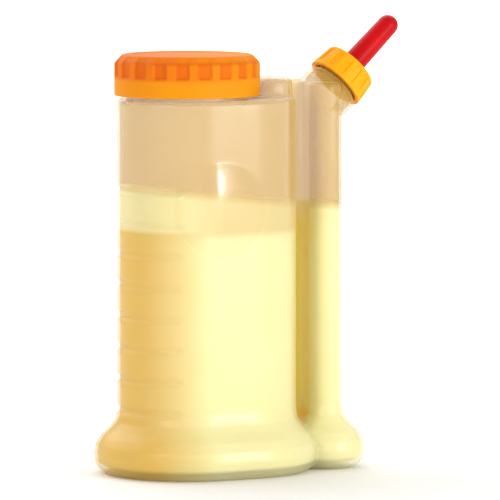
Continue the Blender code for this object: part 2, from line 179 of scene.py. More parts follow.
# How opaque the wall and the films are
WALL_ALPHA = 0.42
THIN_ALPHA = 0.32
THICK_ALPHA = 0.80
GRAIN = 0.00003  # depth of the plastics' fine grain

# Light
WORLD_STRENGTH = 0.54
WHITE = (1.0, 1.0, 1.0)
SOFTBOXES = (  # name, azimuth, elevation, distance, size, power, colour
    ("key_softbox", 40, 30, 1.3, (0.7, 0.7), 1.7, WHITE),
    ("strip_softbox", 22.5, 7.0, 1.5, (0.100, 0.25), 8.5, WHITE),
    ("front_softbox", -24, 12, 1.6, (0.5, 0.5), 1.4, (1.0, 0.90, 0.66)),
    ("side_softbox", -62, 17, 1.5, (0.16, 0.16), 4.2, (1.0, 0.93, 0.78)),
)
MIDDLE = (0, 0, 0.1)  # what the softboxes face


def smooth_step(t):
    """0 up to t = 0, 1 from t = 1, and a soft rise between them."""
    t = np.clip(t, 0.0, 1.0)
    return t * t * (3 - 2 * t)


# ---------------------------------------------------------------- mesh helpers


def add_object(name, mesh):
    """A new object with a mesh, in the scene."""
    obj = bpy.data.objects.new(name, mesh)
    bpy.context.scene.collection.objects.link(obj)
    return obj


def grid_object(name, rings, closed_ends=True):
    """A skin through rings of as many points each, capped at both ends or closed into a loop of rings."""
    count = len(rings[0])
    rows = len(rings)
    faces = []
    for row in range(rows - 1 if closed_ends else rows):
        low, high = row * count, (row + 1) % rows * count
        for i in range(count):
            j = (i + 1) % count
            faces.append((low + i, low + j, high + j, high + i))
    if closed_ends:
        faces.append(tuple(reversed(range(count))))
        faces.append(tuple(range((rows - 1) * count, rows * count)))
    mesh = bpy.data.meshes.new(name)
    mesh.from_pydata([tuple(point) for ring in rings for point in ring], [], faces)
    return add_object(name, mesh)


def apply_modifiers(obj):
    """Gives an object the mesh that its modifiers make."""
    graph = bpy.context.evaluated_depsgraph_get()
    mesh = bpy.data.meshes.new_from_object(obj.evaluated_get(graph))
    obj.modifiers.clear()
    obj.data = mesh


def combine(obj, operation, others):
    """Carries out a Boolean with each of the others in turn, and removes them."""
    for other in others:
        boolean = obj.modifiers.new("combine", "BOOLEAN")
        boolean.operation = operation
        boolean.solver = "MANIFOLD"
        boolean.object = other
        apply_modifiers(obj)
        bpy.data.objects.remove(other)


def melt(obj, voxel, steps):
    """Joins overlapping shells into one skin and rounds its corners."""
    remesh = obj.modifiers.new("skin", "REMESH")
    remesh.mode = "VOXEL"
    remesh.voxel_size = voxel
    smooth = obj.modifiers.new("round", "SMOOTH")
    smooth.factor = 0.5
    smooth.iterations = steps
    apply_modifiers(obj)


def join(objects):
    """One object with the meshes of all of them."""
    work = bmesh.new()
    for obj in objects:
        work.from_mesh(obj.data)
    first = objects[0]
    work.to_mesh(first.data)
    work.free()
    for obj in objects[1:]:
        bpy.data.objects.remove(obj)
    return first


def fillet(corners, steps=5):
    """A profile through (radius, z, corner radius) points, with an arc at each corner that has a radius."""
    points = []
    for i, (x, z, size) in enumerate(corners):
        here = Vector((x, z))
        before = Vector(corners[i - 1][:2]) - here
        after = Vector(corners[(i + 1) % len(corners)][:2]) - here
        if size == 0 or before.length == 0 or after.length == 0:
            points.append((x, z))
            continue
        half = before.angle(after) / 2
        reach = min(size / math.tan(half), 0.49 * before.length, 0.49 * after.length)
        start, end = here + before.normalized() * reach, here + after.normalized() * reach
        for k in range(steps + 1):
            t = k / steps
            bend = start * (1 - t) ** 2 + here * 2 * t * (1 - t) + end * t**2
            points.append((bend.x, bend.y))
    return points


def turned(name, profile, steps, place, relief=None):
    """A profile of (radius, z) points turned round the Z axis of place, as a closed skin.

    The profile runs down the outer side and back up the inner one. relief(angles, radius, z) is added to
    the radius.
    """
    angles = np.arange(steps) * math.tau / steps
    solid = profile[0][0] == 0
    inner = profile[1:-1] if solid else profile
    rings = []
    for radius, z in reversed(inner):
        reach = np.full(steps, radius)
        if relief is not None:
            reach = reach + relief(angles, radius, z)
        rings.append(np.stack([reach * np.cos(angles), reach * np.sin(angles), np.full(steps, z)], axis=1))
    obj = grid_object(name, rings, closed_ends=False)
    if solid:
        cap_ends(obj, len(rings), steps, profile[-1][1], profile[0][1])
    obj.data.transform(place)
    return obj


def cap_ends(obj, rows, steps, low_z, high_z):
    """Closes a turned skin on its axis: two fans replace the strip from the last ring to the first."""
    work = bmesh.new()
    work.from_mesh(obj.data)
    work.verts.ensure_lookup_table()
    work.faces.ensure_lookup_table()
    strip = list(work.faces)[(rows - 1) * steps :]
    bmesh.ops.delete(work, geom=strip, context="FACES_ONLY")
    work.verts.ensure_lookup_table()
    low, high = work.verts.new((0, 0, low_z)), work.verts.new((0, 0, high_z))
    top = (rows - 1) * steps
    work.verts.ensure_lookup_table()
    for i in range(steps):
        j = (i + 1) % steps
        work.faces.new((low, work.verts[j], work.verts[i]))
        work.faces.new((high, work.verts[top + i], work.verts[top + j]))
    loose = [edge for edge in work.edges if not edge.link_faces]
    bmesh.ops.delete(work, geom=loose, context="EDGES")
    work.to_mesh(obj.data)
    work.free()


def thread(name, radius, wire, pitch, span, place):
    """A rounded helical ridge that tapers to nothing at both ends."""
    turns = (span[1] - span[0]) / pitch
    count = round(turns * THREAD_STEPS)
    rings = []
    for i in range(count + 1):
        t = i / count
        angle = THREAD_START + math.tau * turns * t
        size = wire * float(smooth_step(min(t, 1 - t) * turns * 8 + 0.08))
        outward = np.array([math.cos(angle), math.sin(angle), 0.0])
        centre = radius * outward + np.array([0, 0, span[0] + (span[1] - span[0]) * t])
        around = [math.tau * (k + 0.5) / THREAD_SIDES for k in range(THREAD_SIDES)]
        spokes = [math.cos(a) * outward + np.array([0, 0, math.sin(a)]) for a in around]
        rings.append([centre + size * spoke for spoke in spokes])
    ridge = grid_object(name, rings)
    face_outwards(ridge)
    ridge.data.transform(place)
    return ridge


def face_outwards(obj):
    """Turns a solid's faces outwards."""
    work = bmesh.new()
    work.from_mesh(obj.data)
    bmesh.ops.recalc_face_normals(work, faces=work.faces)
    work.to_mesh(obj.data)
    work.free()


def shade(obj, material, sharp):
    """Gives a piece its material and smooth shading, with edges kept above an angle in degrees."""
    obj.data.materials.clear()
    obj.data.materials.append(material)
    obj.data.shade_smooth()
    obj.data.set_sharp_from_angle(angle=math.radians(sharp))


def finish_piece(obj, body, node, material):
    """Shades a piece and makes it stand for its CAD node."""
    obj.name = obj.data.name = node + "_fine"
    shade(obj, material, PIECE_SHARP)
    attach(obj, body)
    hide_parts(node)


# ---------------------------------------------------------------- outlines of the two chambers


def outline_at(s):
    """Points and outward normals at lengths along the reservoir's outline, from the front under the lid."""
    s = np.mod(s, OUTLINE)
    right = -math.pi / 2 + (s - RESERVOIR_LENGTH) / RESERVOIR_R
    left = math.pi / 2 + (s - BACK_END) / RESERVOIR_R
    parts = [s < RESERVOIR_LENGTH, s < RESERVOIR_LENGTH + HALF_ROUND, s < BACK_END]
    angle = np.select(parts, [np.full_like(s, -math.pi / 2), right, np.full_like(s, math.pi / 2)], left)
    along = np.select(parts, [s, np.full_like(s, RESERVOIR_LENGTH), BACK_END - s], np.zeros_like(s))
    normals = np.column_stack([np.cos(angle), np.sin(angle)])
    points = normals * RESERVOIR_R
    points[:, 0] += LID_X + along
    return points, normals


def reservoir_outline(count=OUTLINE_POINTS):
    """Evenly spaced points of the reservoir's outline, their normals and their lengths."""
    lengths = OUTLINE * (np.arange(count) + 0.5) / count
    return *outline_at(lengths), lengths


def standpipe_outline(count=PIPE_POINTS):
    """Points and outward normals of the standpipe's outline."""
    points, normals = [], []
    for i in range(count):
        angle = math.tau * (i + 0.5) / count
        centre = math.copysign(STANDPIPE_HALF_DEPTH - STANDPIPE_R, math.sin(angle))
        normal = (math.cos(angle), math.sin(angle))
        points.append((STANDPIPE_X + STANDPIPE_R * normal[0], centre + STANDPIPE_R * normal[1]))
        normals.append(normal)
    return np.array(points), np.array(normals)


def ring_at(outline, normals, z, stand_out):
    """One ring of a loft: the outline moved outwards, at z. stand_out is a number or one for each point."""
    spread = outline + normals * np.reshape(stand_out, (-1, 1))
    return np.column_stack([spread, np.broadcast_to(z, len(spread))])


def flare(z):
    """How far the foot stands out from the wall at z."""
    heights, amounts = zip(*FOOT_FLARE)
    return np.interp(z, heights, amounts)


def wall_relief(lengths, z):
    """Grip grooves round the outer end, and a low round dome on the front and on the back."""
    relief = np.zeros(len(lengths))
    fade = smooth_step((GROOVE_HALF_LENGTH - np.abs(lengths - OUTER_END)) / GROOVE_FADE)
    for k in range(GROOVES):
        off = np.clip(np.abs(z - GROOVE_FIRST_Z - k * GROOVE_PITCH) / GROOVE_HALF_WIDTH, 0, 1)
        relief = relief - GROOVE_DEPTH * fade * (0.5 + 0.5 * np.cos(math.pi * off))
    for centre in (DOME_S, DOME_S + OUTLINE, BACK_END - DOME_S):
        away = np.hypot(lengths - centre, z - DOME_Z) / DOME_R
        relief = relief + DOME_HEIGHT * np.clip(1 - away**2, 0, None)
    return relief


def nearness(z, high, miss, reach, fade):
    """1 where the skin lies close to a wall that ends at high, and 0 where it misses it by reach or more."""
    beside = (z > TRUE_LOW_Z) & (z < high)
    return np.where(beside, smooth_step((reach - np.abs(miss)) / fade), 0)


def true_up(obj):
    """Moves the skin back onto the exact walls, except in the fillets where the bottle's parts meet."""
    points = np.empty(len(obj.data.vertices) * 3)
    obj.data.vertices.foreach_get("co", points)
    points = points.reshape(-1, 3)
    x, y, z = points.T
    # Reservoir
    along = np.clip(x - LID_X, 0, RESERVOIR_LENGTH)
    away = np.column_stack([x - LID_X - along, y])
    reach = np.maximum(np.hypot(*away.T), 1e-6)
    angle = np.arctan2(away[:, 1], away[:, 0])
    right = RESERVOIR_LENGTH + RESERVOIR_R * (angle + math.pi / 2)
    left = BACK_END + RESERVOIR_R * (np.mod(angle, math.tau) - math.pi / 2)
    flat = np.where(y < 0, along, BACK_END - along)
    lengths = np.select([along <= 0, along >= RESERVOIR_LENGTH], [left, right], flat)
    miss = RESERVOIR_R + flare(z) + wall_relief(lengths, z) - reach
    pull = nearness(z, SHOULDER_Z - 0.0032, miss, *RESERVOIR_NEAR)
    points[:, :2] += away * (pull * miss / reach)[:, None]
    # Standpipe
    x, y, z = points.T
    deep = STANDPIPE_HALF_DEPTH - STANDPIPE_R
    away = np.column_stack([x - STANDPIPE_X, y - np.clip(y, -deep, deep)])
    reach = np.maximum(np.hypot(*away.T), 1e-6)
    miss = STANDPIPE_R + flare(z) - reach
    pull = nearness(z, STANDPIPE_TOP - 0.0036, miss, *PIPE_NEAR)
    points[:, :2] += away * (pull * miss / reach)[:, None]
    # The foot stands on the floor
    points[:, 2] = np.maximum(points[:, 2], 0)
    obj.data.vertices.foreach_set("co", points.ravel())
    obj.data.update()


# ---------------------------------------------------------------- the bottle


def spout_place():
    """The matrix whose +Z runs out along the nozzle from the collar's lower rim, as in the CAD model."""
    turn = Matrix.Rotation(math.atan2(SPOUT_AXIS.x, SPOUT_AXIS.z), 4, "Y")
    return Matrix.Translation(SPOUT_POINT) @ turn


def quarter_round(radius, steps=5):
    """Depths below the top and distances inwards, round an edge from the wall to the top."""
    angles = [math.radians(90 * k / steps) for k in range(steps + 1)]
    return [(radius * (1 - math.sin(angle)), radius * (1 - math.cos(angle))) for angle in angles]


def reservoir_solid():
    """The wide chamber from outside, with a shallow recess under its foot."""
    outline, normals, lengths = reservoir_outline()
    rings = [ring_at(outline, normals, 0.0015, -0.004), ring_at(outline, normals, 0.0, 0.001)]
    for z in np.arange(0.0, FOOT_ROUND_TOP, 0.001):
        rings.append(ring_at(outline, normals, z, flare(z) + wall_relief(lengths, z)))
    for z in np.arange(FOOT_ROUND_TOP, SHOULDER_Z - 0.0030, 0.0006):
        rings.append(ring_at(outline, normals, z, wall_relief(lengths, z)))
    for down, inward in quarter_round(SHOULDER_EDGE):
        rings.append(ring_at(outline, normals, SHOULDER_Z - down, -inward))
    return grid_object("reservoir_solid", rings)


def standpipe_solid():
    """The narrow chamber from outside."""
    outline, normals = standpipe_outline()
    rings = [ring_at(outline, normals, z, flare(z)) for z in np.arange(0.0, FOOT_ROUND_TOP, 0.001)]
    for z in np.arange(FOOT_ROUND_TOP, STANDPIPE_TOP - 0.003, 0.004):
        rings.append(ring_at(outline, normals, z, 0.0))
    for down, inward in quarter_round(PIPE_EDGE):
        rings.append(ring_at(outline, normals, STANDPIPE_TOP - down, -inward))
    return grid_object("standpipe_solid", rings)


def rounded_block(name, low, high, corner, edge, slope=0.0, points=48):
    """A block with round corners in plan and a rounded top edge, whose top may slope along X."""
    centre_x = (low[0] + high[0]) / 2

    def ring(z, drawn_in, tilt):
        row = []
        for i in range(points):
            angle = math.tau * (i + 0.5) / points
            x = high[0] - corner if math.cos(angle) > 0 else low[0] + corner
            y = high[1] - corner if math.sin(angle) > 0 else low[1] + corner
            x += (corner - drawn_in) * math.cos(angle)
            y += (corner - drawn_in) * math.sin(angle)
            row.append((x, y, z + tilt * (x - centre_x)))
        return row

    rings = [ring(low[2], 0.0, 0.0)]
    rings += [ring(high[2] - down, inward, slope) for down, inward in quarter_round(edge)]
    return grid_object(name, rings)


def web_solid():
    """The pinched web between the chambers."""
    left, right = LID_X + 0.0480, STANDPIPE_X - STANDPIPE_R + 0.002
    return rounded_block("web_solid", (left, -WEB_HALF, 0.012), (right, WEB_HALF, WEB_TOP), WEB_HALF, 0.001)


def hump_solid():
    """The raised block on the shoulder beside the lid."""
    low, high = (LID_X + 0.031, -0.0132, 0.150), (LID_X + 0.050, 0.0132, 0.1790)
    return rounded_block("hump_solid", low, high, 0.0078, 0.0035, HUMP_SLOPE)


def hump_cavity():
    """The hollow in that block."""
    low, high = (LID_X + 0.0352, -0.0118, 0.155), (LID_X + 0.0486, 0.0118, 0.1776)
    return rounded_block("hump_cavity", low, high, 0.0064, 0.0030, HUMP_SLOPE)


def disc(name, radius, low, high, place, steps):
    """A cylinder between two heights along the Z axis of place."""
    return turned(name, [(0, high), (radius, high), (radius, low), (0, low)], steps, place)


def chamber_walls(outline, normals, inset, top, foot_step):
    """Rings up the inside of a chamber, at inset from its outer wall."""
    base = FLOOR_Z + inset - WALL
    rings = [ring_at(outline, normals, base, flare(base) - 0.002 - inset)]
    for z in np.arange(base + 0.0015, FOOT_ROUND_TOP, foot_step):
        rings.append(ring_at(outline, normals, z, flare(z) - inset))
    for z in np.arange(FOOT_ROUND_TOP, top, 0.010):
        rings.append(ring_at(outline, normals, z, -inset))
    return rings


def chamber(name, outline, normals, top):
    """The inside of a chamber, as a solid to cut out."""
    rings = chamber_walls(outline, normals, WALL, top - 0.001, 0.002)
    rings.append(ring_at(outline, normals, top, -WALL))
    return grid_object(name, rings)


def spout_root(place):
    """The thick root that the slanted neck stands on."""
    profile = fillet(
        [
            (0, -0.0010, 0),
            (SPOUT_BASE_R, -0.0010, 0.001),
            (SPOUT_BASE_R, -0.0075, 0),
            (0.0086, -0.0140, 0),
            (0, -0.0140, 0),
        ]
    )
    return turned("spout_root", profile, SPOUT_STEPS, place)


def necks(lid_axis, spout):
    """Both necks and their threads, still solid."""
    neck_corners = [(0, NECK_TOP, 0), (NECK_R, NECK_TOP, 0.0006), (NECK_R, NECK_LOW, 0), (0, NECK_LOW, 0)]
    spout_corners = [
        (0, SPOUT_TOP, 0),
        (SPOUT_ROOT_R, SPOUT_TOP, 0.0005),
        (SPOUT_ROOT_R, -0.004, 0),
        (0, -0.004, 0),
    ]
    return [
        turned("neck", fillet(neck_corners), NECK_STEPS, lid_axis),
        turned("spout_finish", fillet(spout_corners), SPOUT_STEPS, spout),
        thread("neck_thread", NECK_R, 0.0013, LID_PITCH, NECK_THREAD_Z, lid_axis),
        thread("spout_thread", SPOUT_ROOT_R, 0.001, SPOUT_PITCH, SPOUT_THREAD_Z, spout),
    ]


def hollows(lid_axis, spout):
    """Everything that is cut out of the bottle: both chambers, the hump and both necks."""
    throat_profile = [
        (0, 0.012),
        (SPOUT_BORE_R, 0.012),
        (SPOUT_BORE_R, 0.0),
        (SPOUT_THROAT_R, -0.0035),
        (SPOUT_THROAT_R, -0.0070),
        (0.0060, -0.0115),
        (0, -0.0115),
    ]
    outline, normals, _ = reservoir_outline(CAVITY_POINTS)
    pipe = chamber("pipe_cavity", *standpipe_outline(PIPE_CAVITY_POINTS), STANDPIPE_TOP - 0.002)
    low = COLLAR_ROOM_LOW - WALL
    collar_wall = disc("collar_wall", COLLAR_ROOM_R + WALL, low, COLLAR_ROOM_HIGH, spout, SPOUT_STEPS)
    combine(pipe, "DIFFERENCE", [collar_wall])
    return [
        chamber("reservoir_cavity", outline, normals, SHOULDER_Z - 0.0022),
        pipe,
        hump_cavity(),
        disc("neck_bore", NECK_BORE_R, NECK_LOW, CLEAR_Z, lid_axis, NECK_BORE_STEPS),
        turned("throat", throat_profile, THROAT_STEPS, spout),
    ]


def bottle():
    """One smooth skin round all the outer shapes, then the necks, and then what is hollow."""
    lid_axis = Matrix.Translation((LID_X, 0, 0))
    spout = spout_place()
    body = join([reservoir_solid(), standpipe_solid(), web_solid(), hump_solid(), spout_root(spout)])
    melt(body, VOXEL, MELT_STEPS)
    true_up(body)
    lid_room = disc("lid_room", LID_ROOM_R, SHOULDER_Z + 0.0003, CLEAR_Z, lid_axis, NECK_STEPS)
    collar_room = disc("collar_room", COLLAR_ROOM_R, COLLAR_ROOM_LOW, COLLAR_ROOM_HIGH, spout, SPOUT_STEPS)
    combine(body, "DIFFERENCE", [lid_room, collar_room])
    combine(body, "UNION", necks(lid_axis, spout))
    combine(body, "DIFFERENCE", hollows(lid_axis, spout))
    return body


# ---------------------------------------------------------------- what the bottle holds


def contents():
    """The liquid, at its own level in each chamber."""
    outline, normals, _ = reservoir_outline(LIQUID_POINTS)
    main = grid_object("contents", liquid_rings(outline, normals, RESERVOIR_FILL_Z))
    column = grid_object("column", liquid_rings(*standpipe_outline(), STANDPIPE_FILL_Z))
    combine(main, "UNION", [column])
    return main


def liquid_rings(outline, normals, top):
    """Rings of a thick liquid in a chamber: it climbs the wall a little at its rim."""
    rings = chamber_walls(outline, normals, FILL_INSET, top, 0.0015)
    for rise, inset in ((0.0009, 0.0), (0.0010, 0.0002), (0.0006, 0.0007), (0.0002, 0.0015), (0.0, 0.003)):
        rings.append(ring_at(outline, normals, top + rise - 0.0010, -FILL_INSET - inset))
    return rings


def film(name, span, low, top, thickness):
    """Liquid left on the reservoir's inner wall, between two heights that vary with the length along it."""
    lengths = np.linspace(*span, round((span[1] - span[0]) / FILM_STEP))
    points, normals = outline_at(lengths)
    rows = np.linspace(0, 1, FILM_ROWS)
    sections = []
    for point, normal, s in zip(points, normals, lengths):
        bottom, height = low(s), max(top(s) - low(s), 0.0002)
        x, y = point - normal * (WALL + FILM_GAP)
        section = [(x, y, bottom + height * row) for row in rows]
        for row in rows[::-1]:
            # Thin along both edges
            body = min(1.0, 8 * row + 0.15, 8 * (1 - row) + 0.15)
            x, y = point - normal * (WALL + FILM_GAP + thickness * body)
            section.append((x, y, bottom + height * row))
        sections.append(section)
    obj = grid_object(name, sections)
    face_outwards(obj)
    return obj


def waves(s, amount):
    """Slow unevenness of a wet edge."""
    return amount * (math.sin(260 * s + 0.6) + 0.4 * math.sin(610 * s + 2.1))


def film_edge(s):
    """The wet films' upper edge, which falls towards the standpipe."""
    x = outline_at(np.array([s]))[0][0, 0]
    return FILM_EDGE_Z - FILM_FALL * x + waves(s, 0.0004)


def thin_film():
    """The thin film all round."""
    span = (0.0, OUTLINE - 0.0004)
    return film("thin_film", span, lambda s: RESERVOIR_FILL_Z - 0.002, film_edge, THIN_FILM)


def thick_film():
    """The thick film round the outer end, whose lower edge sags towards the front."""

    def top(s):
        fall = smooth_step((abs(s - OUTER_END) - 0.0300) / 0.0100)
        return film_edge(s) - 0.0006 - 0.0165 * fall

    def low(s):
        return 0.1118 - 0.0030 * smooth_step((s - OUTER_END - 0.028) / 0.010) + waves(s + 0.05, 0.0004)

    span = (OUTER_END - THICK_HALF_LENGTH, OUTER_END + THICK_HALF_LENGTH)
    return film("thick_film", span, low, top, THICK_FILM)


# ---------------------------------------------------------------- closures


def panel_relief(ribs, depth, band, least_radius, narrow, phase=0.0):
    """Sinks the wall between ribs in a band of heights, with soft flanks.

    narrow is a rib's share of the pitch. Nothing under least_radius is moved.
    """

    def relief(angles, radius, z):
        if radius < least_radius:
            return 0.0
        turn = (angles * ribs / math.tau + phase) % 1.0
        from_rib = np.abs(turn - 0.5) * 2
        across = smooth_step((1 - narrow - from_rib) / 0.16)
        upright = smooth_step((z - band[0]) / 0.0007) * smooth_step((band[1] - z) / 0.0012)
        return -depth * across * upright

    return relief


def lid():
    """The wide screw lid, with a raised rim on top, ribs and an inside thread."""
    height, inner = LID_HEIGHT, LID_INNER_R
    corners = [
        (0, height - 0.0006, 0),
        (0.0235, height - 0.0006, 0.0008),
        (0.0248, height - 0.0001, 0.0008),
        (LID_R - 0.0036, height - 0.0001, 0.0030),
        (LID_R - 0.0004, height - 0.0036, 0.0030),
    ]
    walls = [(LID_R, z, 0) for z in np.arange(height - 0.0042, 0.0016, -0.0006)]
    inside = [
        (LID_R, 0.0, 0.0005),
        (inner, 0.0, 0.0004),
        (inner, height - 0.002, 0.0006),
        (0, height - 0.002, 0),
    ]
    place = Matrix.Translation((LID_X, 0, LID_LOW.z))
    ribs = panel_relief(LID_RIBS, 0.0010, (0.0083, height - 0.0006), LID_R - 0.0034, 0.34, 0.17)
    shell = turned("lid", fillet(corners + walls + inside), LID_RIBS * RIB_STEPS, place, ribs)
    low = NECK_THREAD_Z[0] - LID_PITCH / 2 - LID_LOW.z
    span = (low, low + 1.25 * LID_PITCH)
    combine(shell, "UNION", [thread("lid_ridge", inner, 0.0013, LID_PITCH, span, place)])
    return shell


def collar():
    """The small screw collar, which widens downwards, with ribs and an inside thread."""
    height, inner, top = COLLAR_HEIGHT, COLLAR_INNER_R, 0.0129
    outer = [
        (top - 0.0004, height, 0.0005),
        (top, height - 0.0012, 0.0006),
        (0.01385, 0.0032, 0),
        (0.01405, 0.0, 0.0004),
    ]
    walls = []
    for k in range(1, 12):
        t = k / 12
        walls.append((top + (0.01385 - top) * t, height - 0.0012 - (height - 0.0044) * t, 0))
    profile = [(0.0038, height, 0.0003), outer[0], outer[1], *walls, *outer[2:]]
    profile += [
        (inner, 0.0, 0.0003),
        (inner, 0.0080, 0),
        (0.0114, 0.0084, 0),
        (0.0114, height - 0.0013, 0.0002),
        (0.0038, height - 0.0013, 0),
    ]
    place = spout_place()
    ribs = panel_relief(COLLAR_RIBS, 0.0008, (0.0014, height - 0.0010), 0.0127, 0.36, 0.2)
    shell = turned("collar", fillet(profile), COLLAR_RIBS * RIB_STEPS, place, ribs)
    low = SPOUT_THREAD_Z[0] + SPOUT_PITCH / 2
    span = (low, low + 0.9 * SPOUT_PITCH)
    combine(shell, "UNION", [thread("collar_ridge", inner, 0.001, SPOUT_PITCH, span, place)])
    return shell


def liner():
    """The sealing disc inside the lid."""
    top = LID_HEIGHT - 0.0023
    profile = fillet([(0, top, 0), (0.0308, top, 0.0002), (0.0308, top - 0.001, 0.0002), (0, top - 0.001, 0)])
    return turned("liner", profile, NECK_STEPS, Matrix.Translation((LID_X, 0, LID_LOW.z)))


def gasket():
    """The washer on the slanted neck's rim."""
    low = SPOUT_TOP + 0.0003
    high = low + 0.0009
    profile = fillet(
        [(0.0082, high, 0.0002), (0.0101, high, 0.0002), (0.0101, low, 0.0002), (0.0082, low, 0.0002)]
    )
    return turned("gasket", profile, SPOUT_STEPS, spout_place())


def nozzle():
    """The flanged nozzle with its slim stem."""
    low, tip = SPOUT_TOP + 0.0015, 0.0384
    profile = fillet(
        [
            (0.0011, tip, 0.0002),
            (0.0024, tip, 0.0007),
            (0.0032, 0.0180, 0),
            (0.0034, 0.0150, 0),
            (0.0034, low + 0.0012, 0.0004),
            (0.0111, low + 0.0012, 0.0003),
            (0.0111, low, 0.0003),
            (0.0026, low, 0.0002),
            (0.0022, 0.0180, 0),
            (0.0011, tip - 0.003, 0),
        ]
    )
    return turned("nozzle", profile, SLIM_STEPS, spout_place())


def cover():
    """The tube that covers the nozzle, with a round tip and a slightly wider rim."""
    low, top, radius, tip_r = COLLAR_HEIGHT + 0.0003, 0.0426, 0.0053, 0.0048
    profile = [(0, top)]
    for k in range(1, 11):
        angle = math.radians(90 - 9 * k)
        profile.append((tip_r * math.cos(angle), top - tip_r * (1 - math.sin(angle))))
    rim = [
        (radius, low + 0.0030, 0.0008),
        (radius, low, 0.0005),
        (0.0037, low, 0.0003),
        (0.0035, 0.0180, 0),
        (0.0028, 0.0378, 0),
        (0.0022, 0.0390, 0.0002),
        (0, 0.0390, 0),
    ]
    profile.append((radius - 0.00012, 0.020))
    profile += fillet([(radius - 0.0001, 0.018, 0), *rim])
    return turned("cover", profile, SLIM_STEPS, spout_place())


# ---------------------------------------------------------------- materials


def new_material(name):
    """A material, with its nodes, links and shader."""
    material = bpy.data.materials.new(name)
    material.use_nodes = True
    nodes = material.node_tree.nodes
    shader = nodes["Principled BSDF"]
    return material, nodes, material.node_tree.links, shader


def linear(red, green, blue):
    """A colour given as it looks on a screen, 0 to 255, as Blender's linear values."""
    values = [channel / 255 for channel in (red, green, blue)]
    return tuple(v / 12.92 if v <= 0.04045 else ((v + 0.055) / 1.055) ** 2.4 for v in values) + (1,)


def noise(nodes, links, scale, detail, stretch=(1, 1, 1)):
    """Soft noise in the object's own coordinates. A small stretch along an axis draws it out that way."""
    place = nodes.new("ShaderNodeTexCoord")
    mapping = nodes.new("ShaderNodeMapping")
    mapping.inputs["Scale"].default_value = stretch
    texture = nodes.new("ShaderNodeTexNoise")
    texture.inputs["Scale"].default_value = scale
    texture.inputs["Detail"].default_value = detail
    links.new(place.outputs["Object"], mapping.inputs["Vector"])
    links.new(mapping.outputs["Vector"], texture.inputs["Vector"])
    return texture


def ramp(nodes, links, source, low, high, first, second):
    """Maps low..high of a value to first..second, clamped."""
    node = nodes.new("ShaderNodeMapRange")
    for socket, value in (("From Min", low), ("From Max", high), ("To Min", first), ("To Max", second)):
        node.inputs[socket].default_value = value
    links.new(source, node.inputs["Value"])
    return node.outputs["Result"]


def mix(nodes, links, factor, first, second):
    """Mixes two colours, each a colour or a socket."""
    node = nodes.new("ShaderNodeMix")
    node.data_type = "RGBA"
    for socket, value in ((node.inputs[6], first), (node.inputs[7], second)):
        if isinstance(value, tuple):
            socket.default_value = value
        else:
            links.new(value, socket)
    links.new(factor, node.inputs[0])
    return node.outputs[2]


def position(nodes, links):
    """Where a point of the surface is, in the bottle's frame."""
    place = nodes.new("ShaderNodeTexCoord")
    split = nodes.new("ShaderNodeSeparateXYZ")
    links.new(place.outputs["Object"], split.inputs["Vector"])
    return split


def math_node(nodes, links, operation, first, second=None):
    """One step of arithmetic on a socket, with a second socket or a number where it needs one."""
    node = nodes.new("ShaderNodeMath")
    node.operation = operation
    links.new(first, node.inputs[0])
    if second is None:
        return node.outputs[0]
    if isinstance(second, float):
        node.inputs[1].default_value = second
    else:
        links.new(second, node.inputs[1])
    return node.outputs[0]


def distance(nodes, links, first, second):
    """The length of a vector with two components."""
    squares = [math_node(nodes, links, "MULTIPLY", value, value) for value in (first, second)]
    return math_node(nodes, links, "SQRT", math_node(nodes, links, "ADD", *squares))


def add_bump(nodes, links, shader, height, depth):
    """Fine relief that only the light sees, up to a depth."""
    bump = nodes.new("ShaderNodeBump")
    bump.inputs["Distance"].default_value = depth
    links.new(height, bump.inputs["Height"])
    links.new(bump.outputs["Normal"], shader.inputs["Normal"])


def moulded_plastic(name, colour, deep, roughness, grain, subsurface=0.0):
    """A satin moulded plastic: slow cloudy colour, fine grain in roughness and relief."""
    material, nodes, links, shader = new_material(name)
    cloud = noise(nodes, links, 55, 2.0)
    fine = noise(nodes, links, grain, 3.0)
    tint = mix(nodes, links, ramp(nodes, links, cloud.outputs["Fac"], 0.3, 0.7, 0.0, 1.0), colour, deep)
    links.new(tint, shader.inputs["Base Color"])
    rough = ramp(nodes, links, fine.outputs["Fac"], 0.25, 0.75, roughness - 0.05, roughness + 0.07)
    links.new(rough, shader.inputs["Roughness"])
    shader.inputs["Specular IOR Level"].default_value = 0.14
    shader.inputs["Subsurface Weight"].default_value = subsurface
    shader.inputs["Subsurface Radius"].default_value = (0.004, 0.002, 0.001)
    shader.inputs["Subsurface Scale"].default_value = 1.0
    add_bump(nodes, links, shader, fine.outputs["Fac"], GRAIN)
    return material


def lid_plastic():
    """Orange plastic with painted shade: redder towards the outer end, the shaded side, and darker in the
    sunk panels between the ribs.
    """
    material = moulded_plastic("orange_plastic", linear(232, 152, 6), linear(228, 145, 5), 0.58, 900)
    nodes, links = material.node_tree.nodes, material.node_tree.links
    colour = nodes["Principled BSDF"].inputs["Base Color"]
    split = position(nodes, links)
    x = math_node(nodes, links, "SUBTRACT", split.outputs["X"], LID_X)
    radius = distance(nodes, links, x, split.outputs["Y"])
    # Painted shade: the sunk panels between the ribs turn a deeper red-orange.
    sunk = ramp(nodes, links, radius, LID_R - 0.0010, LID_R - 0.0001, 0.60, 0.0)
    wall = ramp(nodes, links, split.outputs["Z"], LID_HIGH.z - 0.0034, LID_HIGH.z - 0.0020, 1.0, 0.0)
    painted_panel_shade = math_node(nodes, links, "MULTIPLY", sunk, wall)
    # Painted shade: redder towards the outer end, the shaded side, and less so on the lower skirt.
    outer = ramp(nodes, links, split.outputs["X"], 0.004, -0.060, 0.15, 0.80)
    upper = ramp(nodes, links, split.outputs["Z"], LID_LOW.z + 0.0070, LID_LOW.z + 0.0084, 0.3, 1.0)
    above = math_node(nodes, links, "MULTIPLY", outer, upper)
    painted_side_shade = mix(nodes, links, above, colour.links[0].from_socket, linear(226, 104, 4))
    links.new(mix(nodes, links, painted_panel_shade, painted_side_shade, linear(214, 88, 2)), colour)
    return material


